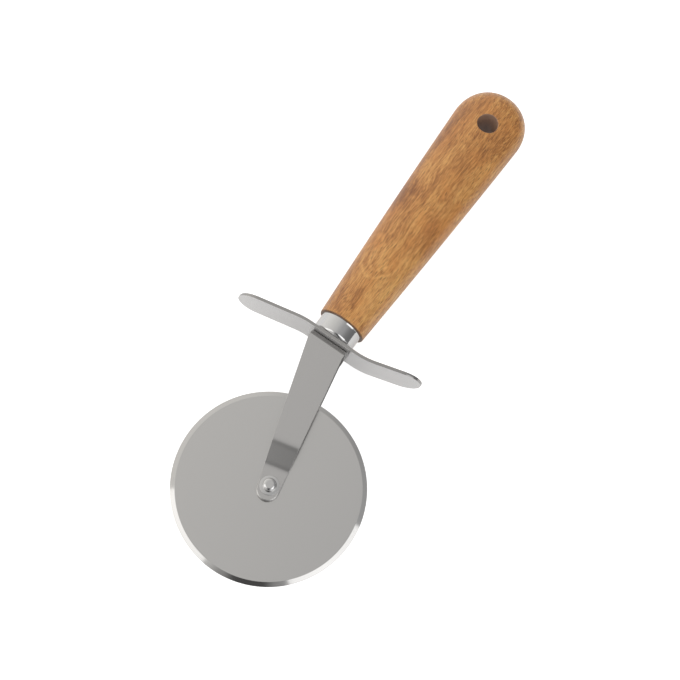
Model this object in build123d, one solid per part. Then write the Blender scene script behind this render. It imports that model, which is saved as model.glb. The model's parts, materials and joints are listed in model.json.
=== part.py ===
import math
import os

from build123d import *

# Pizza cutter with a wooden handle, a pressed steel head and one turning wheel, in millimetres.
# It lies on its back with its front face up: Z is along the wheel's axle, Y along the handle.
# The origin is the centre of the hanging hole, halfway through the handle.

# Cutting wheel
wheel_diameter = 70.0
wheel_thickness = 1.0
wheel_bevel_width = 1.7
wheel_edge_thickness = 0.16

# Axle rivet, its washer and the two spacers
axle_diameter = 3.0
axle_running_clearance = 0.05
front_head_diameter = 4.9
front_head_height = 2.2
front_head_rounding = 1.25
rear_head_diameter = 6.4
rear_head_height = 1.3
rivet_washer_diameter = 7.1
rivet_washer_thickness = 0.3
spacer_diameter = 6.8
spacer_thickness = 0.45
spacer_running_gap = 0.05

# Fork: one strip bent over into a U, its two arms set at an angle to the handle
strip_thickness = 1.2
strip_edge_chamfer = 0.25
head_angle = 13.3
head_length = 58.0
fork_width = 14.9
fork_outer_depth = 12.6
fork_bend_radius = 5.0
fork_bend_share = 0.75
eye_radius = 4.1
eye_overhang = 1.45
joggle_top = 15.3
joggle_bottom = 7.1
joggle_bend_radius = 5.0

# Guard: one strip with round ends, across the handle in the middle, its wings across the head
guard_width = 15.2
guard_left_bend = 12.0
guard_right_bend = 14.9
guard_left_reach = 37.4
guard_right_reach = 36.7
guard_left_turn = 11.7
guard_right_turn = 15.7
guard_bend_radius = 30.0

# Ferrule: a drawn cup, mouth towards the handle
ferrule_diameter = 16.8
ferrule_length = 7.0
ferrule_wall = 0.6
ferrule_corner_radius = 1.0

# Tang rod, its formed head and its grooves
rod_diameter = 5.0
rod_depth_in_wood = 46.0
rod_head_diameter = 7.0
rod_head_height = 2.4
rod_groove_depth = 0.35
rod_groove_width = 1.6
rod_groove_pitch = 5.0
rod_groove_count = 3
rod_end_chamfer = 0.6

# Wooden handle
handle_length = 120.2
handle_width = 30.2
handle_thickness = 20.4
handle_neck_diameter = 19.2
handle_neck_rounding = 0.6
handle_tip_rounding = 0.6
handle_swell = 0.3
handle_end_length = 16.3
handle_end_depth = 11.0
handle_end_fullness = 2.2
hanging_hole_diameter = 8.3
hanging_hole_from_end = 19.0
hanging_hole_countersink = 0.4
oval_flat_turn = 30.0
neck_chamfer_share = 0.8
taper_section_count = 2
end_section_count = 6
end_last_turn = 82.0

# Fits and overruns
seat_gap = 0.02
rod_fit = 0.05
bore_fit = 0.1
bore_end_room = 1.5
cut_overrun = 5.0
spigot_overlap = 5.0

# Places along the handle, from the guard's underside
guard_top = strip_thickness
shoulder = guard_top + ferrule_length
hole_from_guard = shoulder + handle_length - hanging_hole_from_end
eye_outer_height = wheel_thickness / 2 + spacer_running_gap + spacer_thickness + strip_thickness
fork_outer_height = fork_outer_depth / 2
bridge_offset = fork_bend_share * fork_bend_radius * math.tan(math.radians(head_angle))
taper_length = handle_length - handle_end_length
outline_shortest_edge = 1.5 * strip_thickness
seam_share = 0.95

# The handle's frame stands on the guard's underside, X to the right, Y along the handle.
# The head's frame stands on the wheel's centre and is turned from it by the head angle.
handle_frame = Location((0, -hole_from_guard, 0))
head_frame = handle_frame * Rotation(0, 0, head_angle) * Location((0, -head_length, 0))


def strip_from_path(path, thickness):
    """Face of a bent strip: a path moved half a thickness to each side."""
    left = path.offset_2d(thickness / 2, side=Side.LEFT, closed=False)
    right = path.offset_2d(thickness / 2, side=Side.RIGHT, closed=False)
    return make_face([left, Line(left @ 1, right @ 0), right, Line(right @ 1, left @ 0)])


def ease_outline(strip, across):
    """Ease a strip's edges all round its outline, but not its bend lines or the lines through it."""
    outline = strip.edges().filter_by(
        lambda edge: edge.length > outline_shortest_edge
        and abs((edge @ 1 - edge @ 0).dot(across)) < seam_share * edge.length
    )
    return chamfer(outline, strip_edge_chamfer)


def axle_ring(outer_diameter, bottom, thickness, hole_diameter):
    """Flat ring round the axle, in the head's frame."""
    ring = Cylinder(outer_diameter / 2, thickness) - Cylinder(hole_diameter / 2, thickness + cut_overrun)
    return Location((0, 0, bottom + thickness / 2)) * ring


def make_cutting_wheel():
    """Disc ground on both sides to a thin rim."""
    rim = wheel_diameter / 2
    half = wheel_thickness / 2
    edge = wheel_edge_thickness / 2
    bore = axle_diameter / 2 + axle_running_clearance
    half_section = Plane.XZ * Polygon(
        (bore, -half),
        (rim - wheel_bevel_width, -half),
        (rim, -edge),
        (rim, edge),
        (rim - wheel_bevel_width, half),
        (bore, half),
        align=None,
    )
    return revolve(half_section, Axis.Z)


def make_axle_rivet():
    """Shank with a low domed head behind and the tall formed head in front."""
    shank = axle_diameter / 2
    front_seat = eye_outer_height + rivet_washer_thickness
    front_top = front_seat + front_head_height
    rear_seat = -eye_outer_height
    rear_radius = rear_head_diameter / 2
    front_radius = front_head_diameter / 2
    dome_radius = (rear_radius ** 2 + rear_head_height ** 2) / (2 * rear_head_height)
    dome = Location((0, 0, rear_seat - rear_head_height + dome_radius)) * Sphere(dome_radius)
    rear_head = Location((0, 0, rear_seat - rear_head_height / 2)) * Cylinder(rear_radius, rear_head_height)
    rear_head = rear_head & dome
    front_head = Location((0, 0, front_seat + front_head_height / 2)) * Cylinder(front_radius, front_head_height)
    front_head = fillet(front_head.edges().group_by(Axis.Z)[-1], front_head_rounding)
    shank_length = front_top - rear_seat - front_head_height / 2
    rod = Location((0, 0, rear_seat + shank_length / 2)) * Cylinder(shank, shank_length)
    return rear_head + rod + front_head


def fork_bend():
    """Top of the U, square to the handle, in the handle's frame."""
    outer = fork_outer_height
    inner = outer - strip_thickness
    inner_radius = fork_bend_radius - strip_thickness
    foot = -fork_bend_radius
    whole = Location((0, foot / 2)) * Rectangle(2 * outer, fork_bend_radius)
    whole = fillet(whole.vertices().group_by(Axis.Y)[-1], fork_bend_radius)
    hollow = Location((0, (foot - strip_thickness) / 2)) * Rectangle(2 * inner, inner_radius)
    hollow = fillet(hollow.vertices().group_by(Axis.Y)[-1], inner_radius)
    profile = whole - hollow
    band = extrude(Plane.YZ * Rotation(0, 0, -90) * profile, fork_width / 2, both=True)
    return Location((bridge_offset, 0, 0)) * band


def fork_space():
    """Room inside the top of the U, in the handle's frame."""
    inner = fork_outer_height - strip_thickness - seat_gap
    inner_radius = fork_bend_radius - strip_thickness
    depth = fork_bend_radius + rod_head_height
    room = Location((0, -strip_thickness - seat_gap - depth / 2)) * Rectangle(2 * inner, depth)
    room = fillet(room.vertices().group_by(Axis.Y)[-1], inner_radius)
    return extrude(Plane.YZ * Rotation(0, 0, -90) * room, fork_width / 2, both=True)


def fork_arm_outline():
    """Outline of an arm seen along the axle, in the head's frame."""
    turn = math.radians(head_angle)
    corners = []
    for side in (-1, 1):
        across = side * fork_width / 2 + bridge_offset
        along = -fork_bend_radius
        x = across * math.cos(turn) + along * math.sin(turn)
        y = along * math.cos(turn) - across * math.sin(turn) + head_length
        corners.append((x, y))
    eye = CenterArc((0, -eye_overhang), eye_radius, 0, 360)
    return make_hull([Line(corners[0], corners[1]), eye])


def fork_arm():
    """Front arm: flat, then the joggle, then the eye, in the head's frame."""
    high = fork_outer_height - strip_thickness / 2
    low = eye_outer_height - strip_thickness / 2
    top = head_length
    end = -eye_radius - eye_overhang - cut_overrun
    path = FilletPolyline(
        (top, high), (joggle_top, high), (joggle_bottom, low), (end, low), radius=joggle_bend_radius
    )
    sheet = extrude(Plane.YZ * strip_from_path(path, strip_thickness), fork_width, both=True)
    return ease_outline(sheet & extrude(fork_arm_outline(), fork_outer_depth, both=True), Vector(1, 0, 0))


def make_fork():
    """Whole fork in the handle's frame."""
    arm = fork_arm()
    arms = arm + mirror(arm, about=Plane.XY)
    to_handle = handle_frame.inverse() * head_frame
    rod_hole = Rotation(90, 0, 0) * Cylinder(rod_diameter / 2 + rod_fit, fork_outer_depth)
    axle_hole = Cylinder(axle_diameter / 2 + axle_running_clearance, 2 * fork_outer_depth)
    return fork_bend() + to_handle * (arms - axle_hole) - rod_hole


def make_guard():
    """S-shaped strip with round ends, in the handle's frame."""
    left_turn = math.radians(guard_left_turn)
    right_turn = math.radians(guard_right_turn)
    middle = strip_thickness / 2
    left_run = guard_left_reach + cut_overrun - guard_left_bend
    right_run = guard_right_reach + cut_overrun - guard_right_bend
    path = FilletPolyline(
        (-guard_left_bend - left_run, middle - left_run * math.tan(left_turn)),
        (-guard_left_bend, middle),
        (guard_right_bend, middle),
        (guard_right_bend + right_run, middle + right_run * math.tan(right_turn)),
        radius=guard_bend_radius,
    )
    strip = extrude(strip_from_path(path, strip_thickness), guard_width, both=True)
    length = guard_left_reach + guard_right_reach
    plan = Location(((guard_right_reach - guard_left_reach) / 2, 0)) * SlotOverall(length, guard_width)
    plan = extrude(Plane.XZ * plan, length, both=True)
    strip = ease_outline(strip & plan, Vector(0, 0, 1))
    return strip - Rotation(90, 0, 0) * Cylinder(rod_diameter / 2 + rod_fit, ferrule_diameter)


def make_ferrule():
    """Cup with a rounded bottom edge and a hole for the rod, in the handle's frame."""
    outer = Cylinder(ferrule_diameter / 2, ferrule_length)
    outer = fillet(outer.edges().group_by(Axis.Z)[0], ferrule_corner_radius)
    inner = Location((0, 0, ferrule_wall)) * Cylinder(ferrule_diameter / 2 - ferrule_wall, ferrule_length)
    inner = chamfer(inner.edges().group_by(Axis.Z)[0], ferrule_corner_radius - ferrule_wall)
    cup = outer - inner - Cylinder(rod_diameter / 2 + rod_fit, ferrule_length + cut_overrun)
    return Location((0, guard_top + ferrule_length / 2, 0)) * Rotation(-90, 0, 0) * cup


def make_tang_rod():
    """Grooved rod with a head formed into the bend of the fork, in the handle's frame."""
    top = shoulder + rod_depth_in_wood
    radius = rod_diameter / 2
    rod = Location((0, 0, top / 2)) * Cylinder(radius, top)
    rod = chamfer(rod.edges().group_by(Axis.Z)[-1], rod_end_chamfer)
    for number in range(rod_groove_count):
        height = top - rod_groove_pitch * (number + 1)
        groove = Cylinder(radius + cut_overrun, rod_groove_width) - Cylinder(
            radius - rod_groove_depth, rod_groove_width
        )
        rod -= Location((0, 0, height)) * groove
    head_depth = strip_thickness + rod_head_height
    head = Location((0, 0, -head_depth / 2)) * Cylinder(rod_head_diameter / 2, head_depth)
    head = fillet(head.edges().group_by(Axis.Z)[0], rod_head_height / 2)
    head = Rotation(-90, 0, 0) * head & fork_space()
    neck = Location((0, 0, -strip_thickness)) * Cylinder(radius, 2 * strip_thickness + rod_head_height / 2)
    return Rotation(-90, 0, 0) * (rod + neck) + head


def oval(half_width, half_thickness):
    """Section of the handle: two flat arcs and two round ones that meet smoothly."""
    turn = math.radians(oval_flat_turn)
    spread = (half_width - half_thickness) / (math.sin(turn) + math.cos(turn) - 1)
    side_radius = half_width - spread * math.sin(turn)
    flat_radius = side_radius + spread
    flat_centre = half_thickness - flat_radius
    side_centre = half_width - side_radius
    flat_size = 2 * oval_flat_turn
    side_size = 180 - flat_size
    return make_face([
        CenterArc((0, flat_centre), flat_radius, 90 - oval_flat_turn, flat_size),
        CenterArc((-side_centre, 0), side_radius, 90 + oval_flat_turn, side_size),
        CenterArc((0, -flat_centre), flat_radius, 270 - oval_flat_turn, flat_size),
        CenterArc((side_centre, 0), side_radius, 270 + oval_flat_turn, side_size),
    ])


def handle_section(along):
    """Half width and half thickness at a distance from the wood's shoulder."""
    share = min((along - handle_neck_rounding) / (taper_length - handle_neck_rounding), 1.0)
    neck = handle_neck_diameter / 2
    half_width = neck + (handle_width / 2 - neck) * share + 4 * handle_swell * share * (1 - share)
    half_thickness = neck + (handle_thickness / 2 - neck) * share
    past_width = max(along - taper_length, 0.0) / handle_end_length
    past_depth = max(along - handle_length + handle_end_depth, 0.0) / handle_end_depth
    half_width *= (1 - past_width ** handle_end_fullness) ** (1 / handle_end_fullness)
    half_thickness *= (1 - past_depth ** handle_end_fullness) ** (1 / handle_end_fullness)
    return half_width, half_thickness


def handle_body(stations, straight):
    """Wood through the handle's sections at these distances from its shoulder."""
    sections = []
    for along in stations:
        place = Plane(origin=(0, shoulder + along, 0), x_dir=(1, 0, 0), z_dir=(0, 1, 0))
        sections.append(place * oval(*handle_section(along)))
    return loft(sections, ruled=straight)


def make_handle():
    """Turned and flattened wooden handle with its spigot, its bore and the hanging hole."""
    step = (taper_length - handle_neck_rounding) / taper_section_count
    taper = [handle_neck_rounding + step * number for number in range(taper_section_count + 1)]
    turn = math.radians(end_last_turn) / end_section_count
    end = [taper_length + handle_end_length * math.sin(turn * number) for number in range(end_section_count + 1)]
    body = handle_body(taper, True) + handle_body(end, False)
    body = fillet(body.edges().group_by(Axis.Y)[-1], handle_tip_rounding)
    neck = Cylinder(handle_neck_diameter / 2, handle_neck_rounding)
    neck = chamfer(neck.edges().group_by(Axis.Z)[0], neck_chamfer_share * handle_neck_rounding)
    neck = Location((0, shoulder + handle_neck_rounding / 2, 0)) * Rotation(-90, 0, 0) * neck

    spigot_bottom = guard_top + ferrule_wall + seat_gap
    spigot_length = shoulder - spigot_bottom + spigot_overlap
    spigot_radius = ferrule_diameter / 2 - ferrule_wall - seat_gap
    spigot = Cylinder(spigot_radius, spigot_length)
    spigot = chamfer(spigot.edges().group_by(Axis.Z)[0], ferrule_corner_radius)
    spigot = Location((0, spigot_bottom + spigot_length / 2, 0)) * Rotation(-90, 0, 0) * spigot

    bore_length = shoulder + rod_depth_in_wood + bore_end_room
    bore = Rotation(-90, 0, 0) * Cylinder(rod_diameter / 2 + bore_fit, bore_length)
    bore = Location((0, bore_length / 2, 0)) * bore

    hole_place = Location((0, hole_from_guard, 0))
    hole_radius = hanging_hole_diameter / 2
    hole = hole_place * Cylinder(hole_radius, handle_thickness + cut_overrun)
    face_height = handle_section(handle_length - hanging_hole_from_end)[1]
    sink_height = 2 * hanging_hole_countersink
    front_sink = Cone(hole_radius, hole_radius + sink_height, sink_height)
    front_sink = hole_place * Location((0, 0, face_height)) * front_sink
    rear_sink = mirror(front_sink, about=Plane.XY)
    return body + neck + spigot - bore - hole - front_sink - rear_sink


def main():
    wheel_half = wheel_thickness / 2
    spacer_hole = axle_diameter + 2 * axle_running_clearance
    spacer_low = wheel_half + spacer_running_gap
    front_spacer = axle_ring(spacer_diameter, spacer_low, spacer_thickness, spacer_hole)
    parts = {
        "handle": handle_frame * make_handle(),
        "ferrule": handle_frame * make_ferrule(),
        "tang_rod": handle_frame * make_tang_rod(),
        "guard": handle_frame * make_guard(),
        "fork": handle_frame * make_fork(),
        "cutting_wheel": head_frame * make_cutting_wheel(),
        "axle_rivet": head_frame * make_axle_rivet(),
        "rivet_washer": head_frame * axle_ring(
            rivet_washer_diameter, eye_outer_height, rivet_washer_thickness, spacer_hole),
        "front_spacer": head_frame * front_spacer,
        "rear_spacer": head_frame * mirror(front_spacer, about=Plane.XY),
    }
    os.makedirs("parts", exist_ok=True)
    for name, shape in parts.items():
        export_step(shape, "parts/" + name + ".step")


main()
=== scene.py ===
import json
import math

import bmesh
import bpy
from mathutils import Matrix, Vector


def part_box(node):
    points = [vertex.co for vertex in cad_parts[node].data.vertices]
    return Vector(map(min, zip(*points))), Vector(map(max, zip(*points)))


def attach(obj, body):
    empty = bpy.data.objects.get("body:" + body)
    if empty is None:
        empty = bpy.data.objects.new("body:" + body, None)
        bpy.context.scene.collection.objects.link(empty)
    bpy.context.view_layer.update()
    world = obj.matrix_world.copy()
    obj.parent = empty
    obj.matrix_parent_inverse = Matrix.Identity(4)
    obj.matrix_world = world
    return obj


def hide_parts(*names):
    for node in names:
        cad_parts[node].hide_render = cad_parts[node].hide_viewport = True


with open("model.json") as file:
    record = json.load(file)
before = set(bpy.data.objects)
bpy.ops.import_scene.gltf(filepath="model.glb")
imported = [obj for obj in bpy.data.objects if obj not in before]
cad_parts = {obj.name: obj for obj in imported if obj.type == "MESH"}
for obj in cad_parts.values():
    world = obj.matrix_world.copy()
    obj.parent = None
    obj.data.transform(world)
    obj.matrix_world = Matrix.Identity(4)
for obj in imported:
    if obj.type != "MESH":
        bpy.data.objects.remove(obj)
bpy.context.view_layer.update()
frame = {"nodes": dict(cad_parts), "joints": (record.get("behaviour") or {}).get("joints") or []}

mm = 0.001
smoothAngle = math.radians(28)
sharpTurn = math.radians(60)  # a turn between two faces from here on is an edge to round
flatTurn = math.radians(0.05)
# How near counts as the same place
near = {"face": 0.004 * mm, "merge": 0.002 * mm, "seam": 0.003 * mm, "rim": 0.01 * mm, "join": 0.02 * mm}
holeSides = 64

# The head's frame stands on the wheel's centre and is turned from the handle's
wheelCentre = Vector(frame["joints"][0]["pos_m"])
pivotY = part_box("fork")[1].y
headAngle = math.atan2(wheelCentre.x, pivotY - wheelCentre.y)
headLength = wheelCentre.x / math.sin(headAngle)
handlePlace = Matrix.Translation((0, pivotY, 0))
headPlace = Matrix.Translation(wheelCentre) @ Matrix.Rotation(headAngle, 4, "Z")


# Editing, done as by hand

def selectOnly(piece):
    if bpy.context.mode != "OBJECT":
        bpy.ops.object.mode_set(mode="OBJECT")
    bpy.ops.object.select_all(action="DESELECT")
    if piece:
        bpy.context.view_layer.objects.active = piece
        piece.select_set(True)


def editPiece(piece):
    selectOnly(piece)
    bpy.ops.object.mode_set(mode="EDIT")


def pick(kind, test):  # selects the parts of that kind that pass the test
    bpy.ops.mesh.select_mode(type=kind)
    bpy.ops.mesh.select_all(action="DESELECT")
    mesh = bmesh.from_edit_mesh(bpy.context.object.data)
    parts = {"VERT": mesh.verts, "EDGE": mesh.edges, "FACE": mesh.faces}[kind]
    for part in parts:
        if test(part):
            part.select_set(True)
    mesh.select_flush_mode()
    bmesh.update_edit_mesh(bpy.context.object.data)


def move(x=0, y=0, z=0):
    return {"value": (x, y, z)}


def applyPlace():  # puts the active piece's place into its mesh
    bpy.ops.object.transform_apply(location=True, rotation=True, scale=True)


def placeMesh(piece, place):
    selectOnly(piece)
    piece.matrix_world = place @ piece.matrix_world
    applyPlace()


def nameActive(name):
    piece = bpy.context.object
    piece.name = name
    piece.data.name = name
    return piece


def addCylinder(name, radius, low, high, sides):
    selectOnly(None)
    bpy.ops.mesh.primitive_cylinder_add(
        vertices=sides, radius=radius, depth=high - low, location=(0, 0, (low + high) / 2))
    applyPlace()
    return nameActive(name)


def levelFace(height):  # a face square to Z at that height
    return lambda face: abs(face.normal.z) > 0.99 and abs(face.calc_center_median().z - height) < near["face"]


def ringEdge(radius, height):  # an edge of a ring round Z
    def test(edge):
        ends = [vert.co for vert in edge.verts]
        return all(abs(math.hypot(co.x, co.y) - radius) < near["face"] and abs(co.z - height) < near["face"]
                   for co in ends)
    return test


def roundRing(radius, height, rounding, segments):
    pick("EDGE", ringEdge(radius, height))
    bpy.ops.mesh.bevel(offset=rounding, segments=segments, affect="EDGES")


def boreCaps(sides, lowCap, highCap):  # joins the two middle caps by a bore's wall
    caps = (lowCap, highCap)
    pick("FACE", lambda face: len(face.verts) == sides and any(levelFace(cap)(face) for cap in caps))
    bpy.ops.mesh.bridge_edge_loops()


def applyModifier(piece, kind, **settings):
    selectOnly(piece)
    modifier = piece.modifiers.new(kind.lower(), kind)
    for name, value in settings.items():
        setattr(modifier, name, value)
    bpy.ops.object.modifier_apply(modifier=modifier.name)


def cutWith(piece, tool, operation):  # a boolean with a tool that is thrown away
    applyModifier(piece, "BOOLEAN", object=tool, operation=operation, solver="EXACT")
    bpy.data.objects.remove(tool)


def cutHole(piece, radius, reach, place):  # a round hole through both sides of the place
    hole = addCylinder("hole", radius, -reach, reach, holeSides)
    placeMesh(hole, place)
    cutWith(piece, hole, "DIFFERENCE")


def joinPieces(piece, other):  # joins two meshes and merges what touches
    selectOnly(piece)
    other.select_set(True)
    bpy.ops.object.join()
    editPiece(piece)
    bpy.ops.mesh.select_all(action="SELECT")
    bpy.ops.mesh.remove_doubles(threshold=near["join"])
    bpy.ops.mesh.normals_make_consistent(inside=False)
    bpy.ops.object.mode_set(mode="OBJECT")


def cleanCuts(piece):  # clears what the booleans leave, and stays in edit mode
    editPiece(piece)
    bpy.ops.mesh.select_all(action="SELECT")
    bpy.ops.mesh.remove_doubles(threshold=near["merge"])
    bpy.ops.mesh.dissolve_limited(angle_limit=flatTurn)


def turned(edge):
    return edge.is_manifold and edge.calc_face_angle(0) > sharpTurn


def finishPiece(piece, body, nodes, smooth=smoothAngle):
    selectOnly(piece)
    bpy.ops.object.shade_smooth_by_angle(angle=smooth)
    applyModifier(piece, "WEIGHTED_NORMAL", weight=50, keep_sharp=True)
    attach(piece, body)
    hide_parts(*nodes)
    selectOnly(None)
    return piece


def bendStrip(name, start, heading, width, thickness, moves):
    # A strip walked in the XY plane from its first end, its width along Z
    selectOnly(None)
    bpy.ops.mesh.primitive_plane_add(size=1)
    piece = nameActive(name)
    piece.scale = (thickness, width, 1)
    piece.rotation_euler = (math.radians(90), 0, 0)
    applyPlace()
    along = math.radians(heading)
    place = Vector((start[0], start[1], 0))
    placeMesh(piece, Matrix.Translation(place) @ Matrix.Rotation(along - math.pi / 2, 4, "Z"))
    editPiece(piece)
    bpy.ops.mesh.select_all(action="SELECT")
    for kind, *sizes in moves:
        direction = Vector((math.cos(along), math.sin(along), 0))
        if kind == "run":
            place += direction * sizes[0]
            bpy.ops.mesh.extrude_region_move(TRANSFORM_OT_translate={"value": direction * sizes[0]})
        else:  # spin turns clockwise, and a bend's turn is counted the other way
            radius, turn, steps = sizes[0], math.radians(sizes[1]), sizes[2]
            side = Vector((-direction.y, direction.x, 0)) * math.copysign(radius, turn)
            centre = place + side
            bpy.ops.mesh.spin(steps=steps, angle=-turn, center=centre, axis=(0, 0, 1))
            place = centre - Matrix.Rotation(turn, 3, "Z") @ side
            along += turn
    bpy.ops.mesh.select_all(action="SELECT")
    bpy.ops.mesh.normals_make_consistent(inside=False)
    bpy.ops.object.mode_set(mode="OBJECT")
    return piece


# The wheel, ground on both sides to a thin rim

wheel = {"edgeHalf": 0.08 * mm, "bevelWidth": 1.7 * mm, "bore": 1.55 * mm, "sides": 384,
         "smooth": math.radians(6)}


def makeWheel():
    low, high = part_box("cutting_wheel")
    rim = (high.x - low.x) / 2
    half = high.z
    piece = addCylinder("wheelDisc", rim, -wheel["edgeHalf"], wheel["edgeHalf"], wheel["sides"])
    editPiece(piece)
    for side in (-1, 1):
        pick("FACE", levelFace(side * wheel["edgeHalf"]))
        bpy.ops.mesh.inset(thickness=wheel["bevelWidth"], depth=half - wheel["edgeHalf"])
        bpy.ops.mesh.inset(thickness=rim - wheel["bevelWidth"] - wheel["bore"])
    boreCaps(wheel["sides"], -half, half)
    placeMesh(piece, headPlace)
    return finishPiece(piece, "wheel", ["cutting_wheel"], wheel["smooth"])


wheelDisc = makeWheel()
print("wheel made")

# The rivet: a shank, a low dome behind and the tall formed head in front

rivet = {"shank": 1.5 * mm, "frontRadius": 2.5 * mm, "frontSeat": 2.5 * mm, "frontRounding": 1.25 * mm,
         "frontSegments": 14, "rearRadius": 3.2 * mm, "rearSeat": -2.2 * mm, "rearHeight": 1.3 * mm, "rearSteps": 8,
         "rearShare": 0.97, "sides": 96}


def makeRivet():
    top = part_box("axle_rivet")[1].z
    piece = addCylinder("axleRivet", rivet["frontRadius"], rivet["frontSeat"], top, rivet["sides"])
    editPiece(piece)
    roundRing(rivet["frontRadius"], top, rivet["frontRounding"], rivet["frontSegments"])
    pick("FACE", levelFace(rivet["frontSeat"]))
    bpy.ops.mesh.inset(thickness=rivet["frontRadius"] - rivet["shank"])
    bpy.ops.mesh.extrude_region_move(TRANSFORM_OT_translate=move(z=rivet["rearSeat"] - rivet["frontSeat"]))
    # The rear head spreads from the shank, then closes in a low dome
    bpy.ops.mesh.extrude_region_move()
    spread = rivet["rearRadius"] / rivet["shank"]
    bpy.ops.transform.resize(value=(spread, spread, 1))
    domeRadius = (rivet["rearRadius"] ** 2 + rivet["rearHeight"] ** 2) / (2 * rivet["rearHeight"])
    fullTurn = math.asin(rivet["rearRadius"] / domeRadius)
    lastRadius, lastDepth = rivet["rearRadius"], 0
    for step in range(1, rivet["rearSteps"] + 1):
        turn = fullTurn * (1 - rivet["rearShare"] * step / rivet["rearSteps"])
        radius = domeRadius * math.sin(turn)
        depth = rivet["rearHeight"] - domeRadius * (1 - math.cos(turn))
        bpy.ops.mesh.extrude_region_move(TRANSFORM_OT_translate=move(z=lastDepth - depth))
        bpy.ops.transform.resize(value=(radius / lastRadius, radius / lastRadius, 1))
        lastRadius, lastDepth = radius, depth
    bpy.ops.mesh.merge(type="COLLAPSE")
    placeMesh(piece, headPlace)
    return finishPiece(piece, "handle_assembly", ["axle_rivet"])


axleRivet = makeRivet()

# The thin washer under the front head

washer = {"edgeRound": 0.1 * mm, "edgeSegments": 3, "bore": 1.55 * mm, "sides": 96}


def makeWasher():
    low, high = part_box("rivet_washer")
    radius = (high.x - low.x) / 2
    piece = addCylinder("rivetWasher", radius, low.z, high.z, washer["sides"])
    editPiece(piece)
    for height in (low.z, high.z):
        pick("FACE", levelFace(height))
        bpy.ops.mesh.inset(thickness=radius - washer["bore"])
    boreCaps(washer["sides"], low.z, high.z)
    roundRing(radius, high.z, washer["edgeRound"], washer["edgeSegments"])
    placeMesh(piece, headPlace)
    return finishPiece(piece, "handle_assembly", ["rivet_washer"])


rivetWasher = makeWasher()
print("rivet made")

# The fork: one strip bent over into a U, with a joggle and a round eye at the end of each arm

fork = {"thickness": 1.2 * mm, "width": 15.1 * mm, "bendShare": 0.45, "bendRadius": 3.5 * mm,
        "foldRadius": 3.1 * mm, "foldSteps": 14, "kink": 32, "jogglePlace": (15.3 * mm, 7.1 * mm),
        "joggleRadius": 9.0 * mm, "joggleSteps": 10, "eyeRadius": 4.1 * mm, "eyeOverhang": 1.45 * mm,
        "eyeHeight": 2.2 * mm, "eyeSides": 128, "edgeRound": 0.4 * mm, "edgeSegments": 4, "armShare": 0.15,
        "eyeRound": -1.0 * mm, "axleHole": 1.55 * mm, "rodHole": 2.55 * mm, "spare": 5 * mm}
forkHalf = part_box("fork")[1].z
bridgeX = fork["bendShare"] * fork["bendRadius"] * math.tan(headAngle)


def makeForkBend():  # the top of the U, square to the handle
    half = fork["thickness"] / 2
    kink = math.radians(fork["kink"])  # a crisp line where the bend starts
    foldRadius = fork["foldRadius"]
    rise = half * math.sin(kink) + foldRadius * (1 - math.sin(kink))
    reach = half * (1 - math.cos(kink)) + foldRadius * math.cos(kink)
    upTo = ("run", fork["bendRadius"] - half - rise)
    crease = ("bend", half, fork["kink"], 1)
    fold = ("bend", foldRadius, 90 - fork["kink"], fork["foldSteps"])
    piece = bendStrip("forkStrip", (forkHalf - half, -fork["bendRadius"]), 90, fork["width"], fork["thickness"],
                      [upTo, crease, fold, ("run", 2 * (forkHalf - half - reach)), fold, crease, upTo])
    stand = Matrix(((0, 0, -1, bridgeX), (0, 1, 0, 0), (1, 0, 0, 0), (0, 0, 0, 1)))
    placeMesh(piece, handlePlace @ stand)
    return piece


def makeArmOutline():  # a thick plate with the arm's outline seen along the axle
    reach = 4 * forkHalf
    plate = addCylinder("armOutline", fork["eyeRadius"], -reach, reach, fork["eyeSides"])
    placeMesh(plate, headPlace @ Matrix.Translation((0, -fork["eyeOverhang"], 0)))
    corners = [handlePlace @ Vector((bridgeX + side * fork["width"] / 2, -fork["bendRadius"], height))
               for side in (-1, 1) for height in (-reach, reach)]
    editPiece(plate)
    mesh = bmesh.from_edit_mesh(plate.data)
    for corner in corners:
        mesh.verts.new(corner)
    bmesh.update_edit_mesh(plate.data)
    bpy.ops.mesh.select_all(action="SELECT")
    bpy.ops.mesh.convex_hull()
    bpy.ops.object.mode_set(mode="OBJECT")
    return plate


def makeArm(side):  # the front arm for 1, and the rear one for -1
    high = forkHalf - fork["thickness"] / 2
    low = fork["eyeHeight"] - fork["thickness"] / 2
    top, bottom = fork["jogglePlace"]
    turn = math.atan2(high - low, top - bottom)
    tangent = fork["joggleRadius"] * math.tan(turn / 2)
    slope = math.hypot(high - low, top - bottom) - 2 * tangent
    bendIn, bendBack = (("bend", fork["joggleRadius"], side * math.degrees(turn), fork["joggleSteps"])
                        for side in (-1, 1))
    piece = bendStrip(
        "arm", (high, headLength), -90, 2 * fork["width"], fork["thickness"],
        [("run", headLength - top - tangent), bendIn, ("run", slope), bendBack,
         ("run", bottom + 2 * fork["eyeRadius"] + fork["spare"])])
    stand = Matrix(((0, 0, -1, 0), (0, 1, 0, 0), (1, 0, 0, 0), (0, 0, 0, 1)))
    if side < 0:  # the other arm is the same one turned over
        stand = Matrix.Rotation(math.pi, 4, "Y") @ stand
    placeMesh(piece, headPlace @ stand)
    cutWith(piece, makeArmOutline(), "INTERSECT")
    return piece


def dropSeamFaces(piece):  # the end faces where the arms and the bend meet
    seamY = pivotY - fork["bendRadius"]
    editPiece(piece)
    pick("FACE", lambda face: all(abs(vert.co.y - seamY) < near["seam"] for vert in face.verts))
    bpy.ops.mesh.delete(type="FACE")
    bpy.ops.object.mode_set(mode="OBJECT")


def weighEdges(test, weight):  # how much of the rounding these edges take
    pick("EDGE", test)
    bpy.ops.transform.edge_bevelweight(value=weight)


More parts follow.
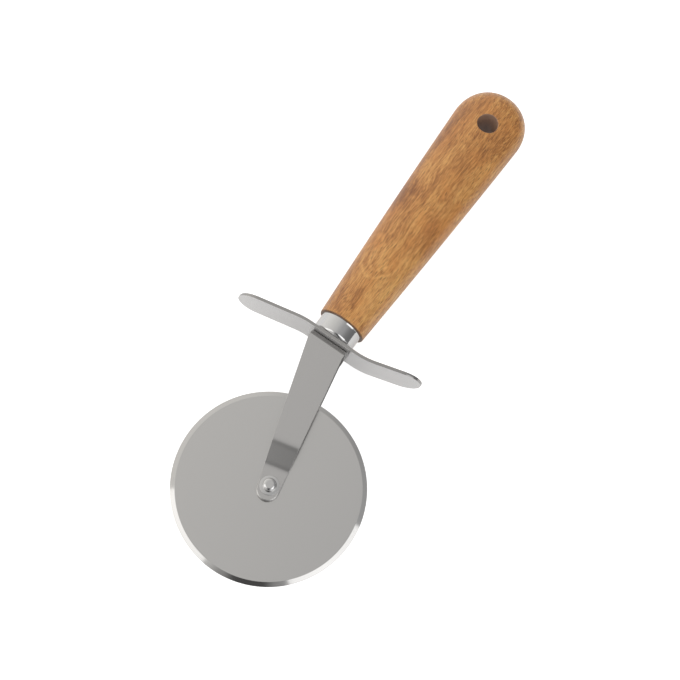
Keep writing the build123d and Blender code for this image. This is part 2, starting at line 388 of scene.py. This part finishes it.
def roundForkEdges(piece):  # the arms' long edges are nearly sharp, the eyes' are rounded
    def atEye(edge):
        ends = [headPlace.inverted() @ vert.co for vert in edge.verts]
        return all(place.y < fork["eyeRound"] for place in ends)
    cleanCuts(piece)
    weighEdges(lambda edge: turned(edge) and atEye(edge), 1.0)
    weighEdges(lambda edge: turned(edge) and not atEye(edge), fork["armShare"])
    applyModifier(piece, "BEVEL", width=fork["edgeRound"], segments=fork["edgeSegments"], limit_method="WEIGHT",
                  use_clamp_overlap=False)


def makeFork():
    piece = makeForkBend()
    dropSeamFaces(piece)
    for side in (1, -1):
        arm = makeArm(side)
        dropSeamFaces(arm)
        joinPieces(piece, arm)
    roundForkEdges(piece)
    cutHole(piece, fork["axleHole"], 2 * forkHalf, headPlace)
    cutHole(piece, fork["rodHole"], 2 * fork["thickness"], handlePlace @ Matrix.Rotation(math.pi / 2, 4, "X"))
    return finishPiece(piece, "handle_assembly", ["fork"])


forkStrip = makeFork()
print("fork made", len(forkStrip.data.polygons))

# The guard: one strip with round ends, its two wings stepped one against the other

guard = {"thickness": 1.2 * mm, "width": 15.2 * mm, "bends": (12.0 * mm, 14.9 * mm), "bendSteps": (12, 14),
         "reaches": (37.75 * mm, 37.1 * mm), "turns": (11.7, 15.7), "bendRadius": 30 * mm, "endSides": 128,
         "edgeRound": 0.18 * mm, "edgeSegments": 3, "spare": 5 * mm, "rodHole": 2.55 * mm}


def makeGuard():
    middle = guard["thickness"] / 2
    leftBend, rightBend = guard["bends"]
    leftReach, rightReach = guard["reaches"]
    leftTurn, rightTurn = (math.radians(turn) for turn in guard["turns"])
    leftRun = leftReach + guard["spare"] - leftBend
    rightRun = rightReach + guard["spare"] - rightBend
    leftTangent = guard["bendRadius"] * math.tan(leftTurn / 2)
    rightTangent = guard["bendRadius"] * math.tan(rightTurn / 2)
    piece = bendStrip(
        "guardStrip", (-leftBend - leftRun, middle - leftRun * math.tan(leftTurn)), guard["turns"][0], guard["width"],
        guard["thickness"],
        [("run", leftRun / math.cos(leftTurn) - leftTangent),
         ("bend", guard["bendRadius"], -guard["turns"][0], guard["bendSteps"][0]),
         ("run", leftBend + rightBend - leftTangent - rightTangent),
         ("bend", guard["bendRadius"], guard["turns"][1], guard["bendSteps"][1]),
         ("run", rightRun / math.cos(rightTurn) - rightTangent)])
    radius = guard["width"] / 2
    plan = addCylinder("guardPlan", radius, -leftReach, leftReach, guard["endSides"])
    editPiece(plan)
    mesh = bmesh.from_edit_mesh(plan.data)
    for vert in mesh.verts:  # the two halves of the round move apart
        vert.select_set(vert.co.x < -near["face"])
    bmesh.update_edit_mesh(plan.data)
    bpy.ops.transform.translate(value=(-leftReach - rightReach + guard["width"], 0, 0))
    bpy.ops.object.mode_set(mode="OBJECT")
    placeMesh(plan, Matrix.Translation((rightReach - radius, 0, 0)))
    placeMesh(plan, Matrix.Rotation(math.pi / 2, 4, "X"))
    cutWith(piece, plan, "INTERSECT")
    cleanCuts(piece)
    pick("EDGE", turned)
    bpy.ops.mesh.bevel(offset=guard["edgeRound"], segments=guard["edgeSegments"], affect="EDGES")
    cutHole(piece, guard["rodHole"], 2 * guard["thickness"], Matrix.Rotation(math.pi / 2, 4, "X"))
    placeMesh(piece, handlePlace)
    return finishPiece(piece, "handle_assembly", ["guard"])


guardStrip = makeGuard()
print("guard made", len(guardStrip.data.polygons))

# The ferrule: a drawn cup with a rounded lower edge

ferrule = {"wall": 0.6 * mm, "lowerRound": 1.5 * mm, "lowerSegments": 12, "innerSegments": 8, "rimRound": 0.15 * mm,
           "rimSegments": 3, "rodHole": 2.55 * mm, "sides": 128, "flareLength": 0.9 * mm, "flare": 0.13 * mm,
           "flareSteps": 6}


def makeFerrule():
    low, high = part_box("ferrule")
    radius = (high.x - low.x) / 2
    length = high.y - low.y
    rim = radius + ferrule["flare"]
    straight = length - ferrule["flareLength"]
    piece = addCylinder("ferruleCup", radius, 0, straight, ferrule["sides"])
    editPiece(piece)
    pick("FACE", levelFace(straight))
    reached = radius
    rise = ferrule["flareLength"] / ferrule["flareSteps"]
    for step in range(1, ferrule["flareSteps"] + 1):  # the mouth opens a little towards the wood
        spread = radius + ferrule["flare"] * (step / ferrule["flareSteps"]) ** 2
        bpy.ops.mesh.extrude_region_move(TRANSFORM_OT_translate=move(z=rise))
        bpy.ops.transform.resize(value=(spread / reached, spread / reached, 1))
        reached = spread
    bpy.ops.mesh.inset(thickness=rim - radius + ferrule["wall"])
    bpy.ops.mesh.extrude_region_move(TRANSFORM_OT_translate=move(z=ferrule["wall"] - length))
    bpy.ops.mesh.inset(thickness=radius - ferrule["wall"] - ferrule["rodHole"])
    pick("FACE", levelFace(0))
    bpy.ops.mesh.inset(thickness=radius - ferrule["rodHole"])
    boreCaps(ferrule["sides"], 0, ferrule["wall"])
    innerRound = ferrule["lowerRound"] - ferrule["wall"]
    roundRing(radius - ferrule["wall"], ferrule["wall"], innerRound, ferrule["innerSegments"])
    roundRing(radius, 0, ferrule["lowerRound"], ferrule["lowerSegments"])
    roundRing(rim, length, ferrule["rimRound"], ferrule["rimSegments"])
    placeMesh(piece, Matrix.Translation((0, low.y, 0)) @ Matrix.Rotation(-math.pi / 2, 4, "X"))
    return finishPiece(piece, "handle_assembly", ["ferrule"])


ferruleCup = makeFerrule()
print("ferrule made")

# The wooden handle: round at the neck, oval at its widest, rounded at the end

wood = {"neckRadius": 9.6 * mm, "width": 30.2 * mm, "thickness": 20.4 * mm, "length": 120.2 * mm, "swell": 0.3 * mm,
        "endLength": 16.3 * mm, "endDepth": 11.0 * mm, "endFullness": 2.2, "neckRound": 0.6 * mm, "neckSteps": 6,
        "holeRadius": 4.15 * mm, "holeSides": 96, "holeEase": 0.35 * mm, "holeSegments": 4, "holeTurn": 45,
        "sides": 96, "taperSteps": 40, "endSteps": 28, "endTurn": 89.3}


def handleHalves(along):  # half width and half thickness at a distance from the wood's shoulder
    taperLength = wood["length"] - wood["endLength"]
    share = min(max(along - wood["neckRound"], 0) / (taperLength - wood["neckRound"]), 1)
    swell = 4 * wood["swell"] * share * (1 - share)
    halfWidth = wood["neckRadius"] + (wood["width"] / 2 - wood["neckRadius"]) * share + swell
    halfThickness = wood["neckRadius"] + (wood["thickness"] / 2 - wood["neckRadius"]) * share
    pastWidth = max(along - taperLength, 0) / wood["endLength"]
    pastDepth = max(along - wood["length"] + wood["endDepth"], 0) / wood["endDepth"]
    full = wood["endFullness"]
    return halfWidth * (1 - pastWidth ** full) ** (1 / full), halfThickness * (1 - pastDepth ** full) ** (1 / full)


def makeHandle():
    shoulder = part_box("ferrule")[1].y
    taperLength = wood["length"] - wood["endLength"]
    neck = wood["neckRound"]
    neckTurn = math.radians(90) / wood["neckSteps"]
    stations = [neck * (1 - math.cos(neckTurn * step)) for step in range(wood["neckSteps"] + 1)]
    stations += [neck + (taperLength - neck) * step / wood["taperSteps"] for step in range(1, wood["taperSteps"] + 1)]
    for step in range(1, wood["endSteps"] + 1):
        turn = math.radians(wood["endTurn"]) * step / wood["endSteps"]
        stations.append(taperLength + wood["endLength"] * math.sin(turn))
    selectOnly(None)
    bpy.ops.mesh.primitive_circle_add(vertices=wood["sides"], radius=1, fill_type="NGON")
    applyPlace()
    piece = nameActive("handleWood")
    editPiece(piece)
    bpy.ops.mesh.select_all(action="SELECT")
    lastAlong, lastHalves = 0, (1, 1)
    for number, along in enumerate(stations):
        halves = handleHalves(along)
        if along < neck:  # the eased edge at the shoulder
            inset = neck - math.sqrt(neck ** 2 - (neck - along) ** 2)
            halves = [half - inset for half in halves]
        if number:
            bpy.ops.mesh.extrude_region_move(TRANSFORM_OT_translate=move(z=along - lastAlong))
        bpy.ops.transform.resize(value=(halves[0] / lastHalves[0], halves[1] / lastHalves[1], 1))
        lastAlong, lastHalves = along, halves
    bpy.ops.mesh.merge(type="COLLAPSE")
    bpy.ops.mesh.select_all(action="SELECT")
    bpy.ops.mesh.normals_make_consistent(inside=False)
    placeMesh(piece, Matrix.Translation((0, shoulder, 0)) @ Matrix.Rotation(-math.pi / 2, 4, "X"))
    return piece


def makeHandleHole(piece):
    hole = addCylinder("hangingHole", wood["holeRadius"], -wood["thickness"], wood["thickness"], wood["holeSides"])
    cutWith(piece, hole, "DIFFERENCE")
    radius = wood["holeRadius"]
    editPiece(piece)

    def onRim(edge):
        ends = [vert.co for vert in edge.verts]
        sharp = edge.calc_face_angle(0) > math.radians(wood["holeTurn"])
        return sharp and all(abs(math.hypot(co.x, co.y) - radius) < near["rim"] for co in ends)
    pick("EDGE", onRim)
    bpy.ops.mesh.bevel(offset=wood["holeEase"], segments=wood["holeSegments"], affect="EDGES")
    bpy.ops.object.mode_set(mode="OBJECT")


handleWood = makeHandle()
makeHandleHole(handleWood)
finishPiece(handleWood, "handle_assembly", ["handle"])
print("handle made", len(handleWood.data.polygons))

# The camera, above the tool and a little behind the wheel, measured in the head's frame

camera = {"place": (16.172 * mm, -70.985 * mm, 383.696 * mm), "lens": 57.568, "sensor": 36,
          "right": (0.928379, 0.359843, 0.092872), "up": (-0.370301, 0.874546, 0.313124)}


def makeCamera():
    turn = headPlace.to_3x3()
    right = turn @ Vector(camera["right"])
    up = turn @ Vector(camera["up"])
    lens = bpy.data.cameras.new("camera")
    lens.lens = camera["lens"]
    lens.sensor_width = camera["sensor"]
    lens.sensor_fit = "HORIZONTAL"
    holder = bpy.data.objects.new("camera", lens)
    bpy.context.scene.collection.objects.link(holder)
    axes = Matrix((right, up, right.cross(up))).transposed().to_4x4()
    holder.matrix_world = Matrix.Translation(headPlace @ Vector(camera["place"])) @ axes
    bpy.context.scene.camera = holder


makeCamera()
print("camera placed")


# Shader maths: a socket that can be reckoned with

class Value:
    def __init__(self, tree, socket=None):
        self.tree = tree
        self.socket = socket

    def node(self, kind, settings, sockets, output=0):  # any node, its settings first, then its sockets
        node = self.tree.nodes.new("ShaderNode" + kind)
        for name, setting in settings.items():
            if name == "stops":
                ramp = node.color_ramp.elements
                while len(ramp) < len(setting):
                    ramp.new(1)
                for stop, (place, colour) in zip(ramp, setting):
                    stop.position = place
                    stop.color = (*colour, 1)
            else:
                setattr(node, name, setting)
        for name, given in sockets.items():
            if isinstance(given, Value):
                self.tree.links.new(given.socket, node.inputs[name])
            else:
                node.inputs[name].default_value = given
        return Value(self.tree, node.outputs[output])

    def math(self, operation, first, second=0.0):
        return self.node("Math", {"operation": operation}, {0: first, 1: second})

    def __add__(self, other):
        return self.math("ADD", self, other)

    def __sub__(self, other):
        return self.math("SUBTRACT", self, other)

    def __rsub__(self, other):
        return self.math("SUBTRACT", other, self)

    def __mul__(self, other):
        return self.math("MULTIPLY", self, other)

    def __pow__(self, other):
        return self.math("POWER", self, other)

    __radd__ = __add__
    __rmul__ = __mul__

    def size(self):  # the number without its sign
        return self.math("ABSOLUTE", self)

    def rise(self, low, high):  # 0 below low, 1 above high, smooth between
        return self.node("MapRange", {"interpolation_type": "SMOOTHSTEP"},
                         {"Value": self, "From Min": low, "From Max": high})

    def parts(self):  # the three numbers of a vector
        split = self.tree.nodes.new("ShaderNodeSeparateXYZ")
        self.tree.links.new(self.socket, split.inputs[0])
        return [Value(self.tree, output) for output in split.outputs]

    def placed(self, location=(0, 0, 0), scale=(1, 1, 1)):
        return self.node("Mapping", {"vector_type": "POINT"}, {"Vector": self, "Location": location, "Scale": scale})

    def noise(self, detail, roughness=0.5):
        return self.node("TexNoise", {"noise_dimensions": "3D"},
                         {"Vector": self, "Scale": 1.0, "Detail": detail, "Roughness": roughness})

    def length(self):
        return self.node("VectorMath", {"operation": "LENGTH"}, {0: self}, 1)

    def mixed(self, first, second):  # two colours, by this number
        return self.node("Mix", {"data_type": "RGBA", "blend_type": "MIX"}, {0: self, 6: first, 7: second}, 2)

    def blended(self, blend, other):  # this colour and another, all over
        return self.node("Mix", {"data_type": "RGBA", "blend_type": blend}, {0: 1.0, 6: self, 7: other}, 2)

    def grey(self):  # this number as a colour
        return self.node("CombineColor", {}, {0: self, 1: self, 2: self})

    def ramp(self, stops):
        return self.node("ValToRGB", {"stops": stops}, {"Fac": self})


def colour(*screen):  # from the 0 to 255 that a screen shows
    return tuple(((part / 255 + 0.055) / 1.055) ** 2.4 for part in screen)


def newMaterial(name, **fixed):
    material = bpy.data.materials.new(name)
    material.use_nodes = True
    shader = material.node_tree.nodes["Principled BSDF"]
    for socket, value in fixed.items():
        shader.inputs[socket.replace("_", " ")].default_value = value
    return material, shader, Value(material.node_tree)


def linkTo(shader, **sockets):
    for socket, value in sockets.items():
        value.tree.links.new(value.socket, shader.inputs[socket.replace("_", " ")])


def millimetres(start):  # where a point of the piece is, in millimetres
    place = start.node("TexCoord", {}, {}, 3)
    return place.placed(scale=(1000, 1000, 1000))


def dress(piece, material):
    piece.data.materials.clear()
    piece.data.materials.append(material)


# The wood: warm brown, streaked and mottled along the grain, with short dark pores

woodLook = {"rough": 0.42, "coat": 0.5, "coatRough": 0.25, "dark": (158, 98, 44), "deep": (190, 125, 63),
            "middle": (218, 153, 82), "warm": (230, 152, 76), "light": (250, 192, 114), "pore": (118, 72, 36),
            # of these colours, the seam's is painted shade at the ferrule joint, and the hole's is lightened as
            # painted light
            "hole": (185, 160, 145), "seam": (84, 58, 40), "poreDepth": 0.06 * mm,
            "stops": ((0.0, "dark"), (0.3, "deep"), (0.55, "middle"), (1.0, "light")),
            # how finely each pattern is drawn across, along and through the wood
            "scales": {"wander": (0.05, 0.022, 0.05), "waver": (0.22, 0.06, 0.22), "ring": (0.12, 0.04, 0.12),
                       "mottle": (0.16, 0.06, 0.16), "streak": (1.0, 0.035, 1.0), "fibre": (3.0, 0.3, 3.0),
                       "warmth": (0.11, 0.07, 0.11), "pore": (2.0, 0.3, 2.0), "crowd": (0.14, 0.08, 0.14)},
            # how much each pattern counts
            "shares": {"wander": 9.0, "waver": 1.6, "ring": 2.0, "mottle": 0.6, "streak": 1.15, "fibre": 2.1,
                       "rings": 0.10, "slope": 0.006, "arches": 0.2, "warmth": 0.45, "pores": 0.75, "seam": 0.8,
                       "poreRough": 0.2, "fibreRough": 0.12, "fibreDepth": 0.4},
            "heartLean": 0.2, "heartDepth": 25.5, "heartSide": 3.5, "ringsPerMillimetre": 0.42,
            "arches": (-2.0, -70, 7.5, 13),  # middle across and along, half width and half length
            "archPitch": 22.0, "archWaver": 0.3,
            # blotches: middle across and along, half width and half length, how much darker or lighter
            "blotches": ((4.0, -94, 2.6, 12, 0.16), (7.5, -80, 3.0, 20, 0.20), (-3.5, -93, 6, 9, -0.10),
                         (-0.5, -71, 6, 7, 0.16), (7.5, -54, 5, 10, -0.20), (-11.5, -44, 7, 8, -0.36),
                         (-8.0, -27, 3.5, 11, 0.12), (0.5, -28, 5, 14, -0.10), (8.5, -9, 2.5, 9, -0.12),
                         (-12.5, -8, 3.0, 10, -0.24), (-5, -12, 5, 12, 0.10), (12, 0, 5, 8, -0.14),
                         (-8.5, -12, 5, 22, -0.16), (6, -76, 6, 24, 0.08), (3, -12, 5, 20, -0.10),
                         (17.5, -24, 4, 16, -0.12))}


def patch(place, middleX, middleY, halfWidth, halfLength):  # 0 in the middle of a long patch and 1 at its edge
    return place.placed(location=(-middleX / halfWidth, -middleY / halfLength, 0),
                        scale=(1 / halfWidth, 1 / halfLength, 0)).length()


def makeWood():
    material, shader, start = newMaterial("woodMaterial", Roughness=woodLook["rough"], IOR=1.5,
                                          Coat_Weight=woodLook["coat"], Coat_Roughness=woodLook["coatRough"])
    scales, shares = woodLook["scales"], woodLook["shares"]

    def about(noise, name):  # a pattern above and below its middle, by its share
        return (noise - 0.5) * shares[name]

    def tinted(amount, base, name):
        return amount.mixed(base, (*colour(*woodLook[name]), 1))
    place = millimetres(start)
    x, y, z = place.parts()
    # The grain wanders a little from the handle's line
    wander = place.placed(scale=scales["wander"]).noise(2.0)
    waver = place.placed(scale=scales["waver"]).noise(1.0)
    across = x + about(wander, "wander") + about(waver, "waver")
    grain = start.node("CombineXYZ", {}, {0: across, 1: y, 2: z})
    # Growth rings round a heart that leans
    heart = z + y * woodLook["heartLean"] + woodLook["heartDepth"]
    side = across + woodLook["heartSide"]
    radius = (side * side + heart * heart) ** 0.5
    ringNoise = grain.placed(scale=scales["ring"]).noise(2.0)
    ring = radius * woodLook["ringsPerMillimetre"] + ringNoise * shares["ring"]
    turn = ring - start.math("FLOOR", ring)
    rings = turn.rise(0.0, 0.75) * (1 - turn.rise(0.8, 1.0))
    # Soft mottling, long streaks and fine fibres, with a tone that rises towards the right side as painted light
    mottle = grain.placed(scale=scales["mottle"]).noise(3.0, 0.55)
    streak = grain.placed(scale=scales["streak"]).noise(3.0, 0.6)
    fibre = grain.placed(scale=scales["fibre"]).noise(3.0, 0.7)
    tone = (0.5 + about(mottle, "mottle") + about(streak, "streak") + about(fibre, "fibre") + about(rings, "rings")
            + x * shares["slope"])
    # Pale arches, one inside another, where the cut runs out of the growth rings
    archY = woodLook["arches"][1]
    archSize = patch(place, *woodLook["arches"]) + (mottle - 0.5) * woodLook["archWaver"]
    wave = start.math("SINE", archSize * woodLook["archPitch"])
    shown = archSize.rise(0.35, 0.6) * (1 - archSize.rise(1.05, 1.2)) * (1 - y.rise(archY - 4, archY + 3))
    tone = tone + wave.rise(-0.1, 1.0) * shown * shares["arches"]
    for *blotch, strength in woodLook["blotches"]:
        tone = tone + (1 - patch(grain, *blotch).rise(0.1, 1.5)) * strength
    base = tone.ramp([(stop, colour(*woodLook[name])) for stop, name in woodLook["stops"]])
    warmth = place.placed(scale=scales["warmth"], location=(3, 7, 1)).noise(2.0).rise(0.45, 0.7)
    base = tinted(warmth * shares["warmth"], base, "warm")
    # Pores: short dark dashes, thick in some places and thin in others
    cells = grain.placed(scale=scales["pore"])
    dash = cells.node("TexVoronoi", {"feature": "F1"}, {"Vector": cells, "Scale": 1.0, "Randomness": 1.0})
    crowd = grain.placed(scale=scales["crowd"], location=(11, 3, 5)).noise(1.0).rise(0.35, 0.65)
    pores = (1 - dash.rise(0.12, 0.38)) * (0.3 + crowd * 0.7)
    base = tinted(pores * shares["pores"], base, "pore")
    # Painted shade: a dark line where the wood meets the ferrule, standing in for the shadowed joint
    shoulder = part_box("ferrule")[1].y / mm
    seam = 1 - y.rise(shoulder + 0.1, shoulder + 0.55)
    base = tinted(seam * shares["seam"], base, "seam")
    # The drilled hole shows dull wood, tinted paler than its own colour as painted light on its dim inner wall
    holeRadius = wood["holeRadius"] / mm
    inHole = 1 - ((x * x + y * y) ** 0.5).rise(holeRadius - 0.1, holeRadius + 0.25)
    base = tinted(inHole, base, "hole")
    height = fibre * shares["fibreDepth"] + (1 - pores)
    bump = height.node("Bump", {}, {"Height": height, "Strength": 0.5, "Distance": woodLook["poreDepth"]})
    rough = woodLook["rough"] + pores * shares["poreRough"] + about(fibre, "fibreRough")
    linkTo(shader, Base_Color=base, Roughness=rough, Normal=bump)
    return material


dress(handleWood, makeWood())
print("wood done")

# The steels: near one tone, told apart by how finely each is finished

steel = {"wheel": (0.655, 0.645, 0.632), "fork": (0.575, 0.565, 0.555), "guard": (0.65, 0.64, 0.635),
         "creaseShadeColour": (0.27, 0.262, 0.255), "cut": (0.42, 0.41, 0.40), "bright": (0.66, 0.655, 0.65),
         "dull": (0.5, 0.49, 0.48), "stripMetal": 0.8, "pressedLoss": 0.45, "pressedRough": 0.12,
         "groundGloss": 0.6, "groundLines": 9.0, "groundDepth": 0.05,
         # below the fork's top: where the bend starts, and where the painted shade in the crease under the guard
         # starts and fades
         "bendStart": (2.9, 2.0), "creaseShadeStart": (2.55, 2.3), "creaseShadeFade": (1.9, 0.9), "creaseShadeLoss": 0.7,
         "guardPressed": (7.5, 9.5), "guardCut": (0.35, 0.7)}

# Each finish: its roughness, its grain's scale and how much the grain changes the gloss
finish = {"wheel": (0.2, (4, 4, 4), 0.25), "strip": (0.16, (5, 5, 5), 0.3), "ferrule": (0.085, (2.5, 0.4, 2.5), 0.3),
          "rivet": (0.13, (6, 6, 6), 0.3), "inner": (0.35, (3, 3, 3), 0.3)}


def makeSteel(name, tint, rough, grainScale, grainShare, metal=1.0):
    # Fine grain that changes the gloss, with a little cloudiness over it
    material, shader, start = newMaterial(name, Metallic=metal, Base_Color=(*tint, 1), Roughness=rough)
    place = millimetres(start)
    grain = place.placed(scale=grainScale).noise(3.0, 0.6)
    cloud = place.placed(scale=(0.06, 0.06, 0.06)).noise(2.0)
    change = rough * (1 + (grain - 0.5) * grainShare + (cloud - 0.5) * 0.25)
    linkTo(shader, Roughness=change)
    return material, shader, place, change


def makeWheelSteel():
    # Satin faces, and a ground bevel that shines more
    material, shader, place, change = makeSteel("wheelSteel", steel["wheel"], *finish["wheel"])
    centred = place.placed(location=[-part / mm for part in wheelCentre])
    x, y = centred.parts()[:2]
    radius = (x * x + y * y) ** 0.5
    bevelStart = (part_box("cutting_wheel")[1].x - wheelCentre.x - wheel["bevelWidth"]) / mm
    ground = radius.rise(bevelStart - 0.05, bevelStart + 0.05)
    lines = (radius * steel["groundLines"]).noise(1.0)
    gloss = change * (1 - ground * steel["groundGloss"])
    linkTo(shader, Roughness=gloss + ground * (lines - 0.5) * steel["groundDepth"])
    return material


dress(wheelDisc, makeWheelSteel())


def makeForkSteel():  # less metallic and rougher where the strip was stretched over the bend, and darkened there by painted shade in the crease under the guard
    material, shader, place, change = makeSteel("forkSteel", steel["fork"], *finish["strip"], steel["stripMetal"])
    y = place.parts()[1]

    def upTo(name):
        return y.rise(*(pivotY / mm - below for below in steel[name]))
    bent = upTo("bendStart")
    # painted shade: the fork's colour darkens in the crease under the guard, then fades further down
    creaseShade = upTo("creaseShadeStart") * (1 - upTo("creaseShadeFade") * steel["creaseShadeLoss"])
    base = creaseShade.mixed((*steel["fork"], 1), (*steel["creaseShadeColour"], 1))
    linkTo(shader, Base_Color=base, Metallic=steel["stripMetal"] - bent * steel["pressedLoss"],
           Roughness=change + bent * steel["pressedRough"])
    return material


def makeGuardSteel():  # its cut edges are duller than its faces, and so is the middle, pressed on the fork
    material, shader, place, change = makeSteel("guardSteel", steel["guard"], *finish["strip"], steel["stripMetal"])
    facing = place.node("TexCoord", {}, {}, 1).parts()[1]
    cut = 1 - facing.size().rise(*steel["guardCut"])
    base = cut.mixed((*steel["guard"], 1), (*steel["cut"], 1))
    x = place.parts()[0]
    pressed = (1 - x.size().rise(*steel["guardPressed"])) * (1 - cut)
    linkTo(shader, Base_Color=base, Metallic=steel["stripMetal"] - pressed * steel["pressedLoss"],
           Roughness=change + pressed * steel["pressedRough"])
    return material


dress(forkStrip, makeForkSteel())
dress(guardStrip, makeGuardSteel())
dress(ferruleCup, makeSteel("ferruleSteel", steel["bright"], *finish["ferrule"])[0])
rivetSteel = makeSteel("rivetSteel", steel["bright"], *finish["rivet"])[0]
dress(axleRivet, rivetSteel)
dress(rivetWasher, rivetSteel)
innerSteel = makeSteel("innerSteel", steel["dull"], *finish["inner"])[0]
for name in ("tang_rod", "front_spacer", "rear_spacer"):
    for slot in frame["nodes"][name].material_slots:
        slot.material = innerSteel
print("steel done")

# The studio: a white floor, a tent that is lighter on the left, and two soft boxes
# with a dark gap between them

studio = {"floorSize": 3.0, "floorRoom": 0.05 * mm, "floorColour": 0.75, "floorGlow": 0.85, "floorShine": 0.4,
          # the tent's light from its left side to its right: place and glow
          "tent": ((0.02, 0.97), (0.15, 0.84), (0.28, 0.76), (0.45, 0.64), (0.6, 0.48), (0.75, 0.42), (0.88, 0.26),
                   (0.96, 0.2)),
          "leftTint": (1.0, 0.985, 0.955), "rightTint": (0.985, 0.99, 1.0), "farLoss": 0.28, "frontGlow": 3.0,
          "gapAzimuth": -68, "gapHalfWidth": 0.12, "gapSoftness": 0.04, "gapGlow": 0.08, "rimHalfWidth": 0.09,
          "rimSpread": 0.35, "rimSoftness": 0.05, "rimGlow": 0.33,
          # the left box and the right one
          "boxDistance": 900 * mm, "boxTurn": 70, "boxRises": (40, 50), "boxWidths": (1000 * mm, 700 * mm),
          "boxLengths": (445 * mm, 490 * mm), "boxGlows": (0.52, 0.72)}


def seenPlainly(start):  # 1 where the camera looks straight or through something clear
    rays = [start.node("LightPath", {}, {}, "Is %s Ray" % kind) for kind in ("Camera", "Transmission")]
    return start.math("MAXIMUM", *rays)


def makeFloor():
    selectOnly(None)
    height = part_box("handle")[0].z - studio["floorRoom"]
    bpy.ops.mesh.primitive_plane_add(size=studio["floorSize"], location=(0, 0, height))
    applyPlace()
    floor = nameActive("floor")
    shade = studio["floorColour"]
    material, shader, start = newMaterial(
        "floorWhite", Base_Color=(shade, shade, shade, 1), Roughness=1.0, Specular_IOR_Level=0.0)
    glossyRay = start.node("LightPath", {}, {}, "Is Glossy Ray")
    glow = seenPlainly(start) * studio["floorGlow"] + glossyRay * studio["floorShine"]
    shader.inputs["Emission Strength"].default_value = 1.0
    linkTo(shader, Emission_Color=glow.grey())
    dress(floor, material)


def makeWorld():
    world = bpy.data.worlds.new("studio")
    bpy.context.scene.world = world
    world.use_nodes = True
    start = Value(world.node_tree)
    x, y = start.node("TexCoord", {}, {}, 0).parts()[:2]
    level = (x * 0.5 + 0.5).ramp([(place, (glow, glow, glow)) for place, glow in studio["tent"]])
    # The dark gap between the boxes, and the dimmer wedge round it
    gap = math.radians(studio["gapAzimuth"])
    along = x * math.cos(gap) + y * math.sin(gap)
    across = y * math.cos(gap) - x * math.sin(gap)
    half, soft = studio["gapHalfWidth"], studio["gapSoftness"]
    dark = (1 - across.size().rise(half - soft, half + soft)) * along.rise(0.15, 0.35)
    reach = across.size() - along * studio["rimSpread"] - studio["rimHalfWidth"]
    dim = (1 - reach.rise(-studio["rimSoftness"], studio["rimSoftness"])) * along.rise(0.0, 0.4)
    gapGlow = dim * studio["rimGlow"] - dark * (studio["rimGlow"] - studio["gapGlow"])
    # A little less from the far side, and more from the front right
    far = 1 - y.rise(0.38, 0.75) * x.rise(-0.45, -0.1) * studio["farLoss"]
    front = x.rise(0.35, 0.85) * (1 - y.rise(-0.1, 0.15)) * studio["frontGlow"]
    glow = (1 - dim) * (far + front)
    tint = x.rise(-0.6, 0.6).mixed((*studio["leftTint"], 1), (*studio["rightTint"], 1))
    lit = level.blended("MULTIPLY", glow.grey()).blended("ADD", gapGlow.grey()).blended("MULTIPLY", tint)
    lit = seenPlainly(start).mixed(lit, (1, 1, 1, 1))  # seen straight on, the tent is plain white
    background = world.node_tree.nodes["Background"]
    world.node_tree.links.new(lit.socket, background.inputs["Color"])


def makeSoftBoxes():
    for number, (name, side) in enumerate((("leftBox", -1), ("rightBox", 1))):
        width, length = studio["boxWidths"][number], studio["boxLengths"][number]
        rise = math.radians(studio["boxRises"][number])
        azimuth = math.radians(studio["gapAzimuth"] + side * studio["boxTurn"])
        outward = Vector((math.cos(azimuth) * math.cos(rise), math.sin(azimuth) * math.cos(rise), math.sin(rise)))
        light = bpy.data.lights.new(name, "AREA")
        light.shape = "RECTANGLE"
        light.size = width
        light.size_y = length
        light.energy = studio["boxGlows"][number] * 4 * width * length
        holder = bpy.data.objects.new(name, light)
        bpy.context.scene.collection.objects.link(holder)
        lengthwise = Vector((-math.sin(azimuth), math.cos(azimuth), 0))
        axes = Matrix((lengthwise.cross(outward), lengthwise, outward)).transposed().to_4x4()
        holder.matrix_world = Matrix.Translation(wheelCentre + outward * studio["boxDistance"]) @ axes


makeFloor()
makeWorld()
makeSoftBoxes()
bpy.context.scene.view_settings.view_transform = "Standard"
print("studio lit")
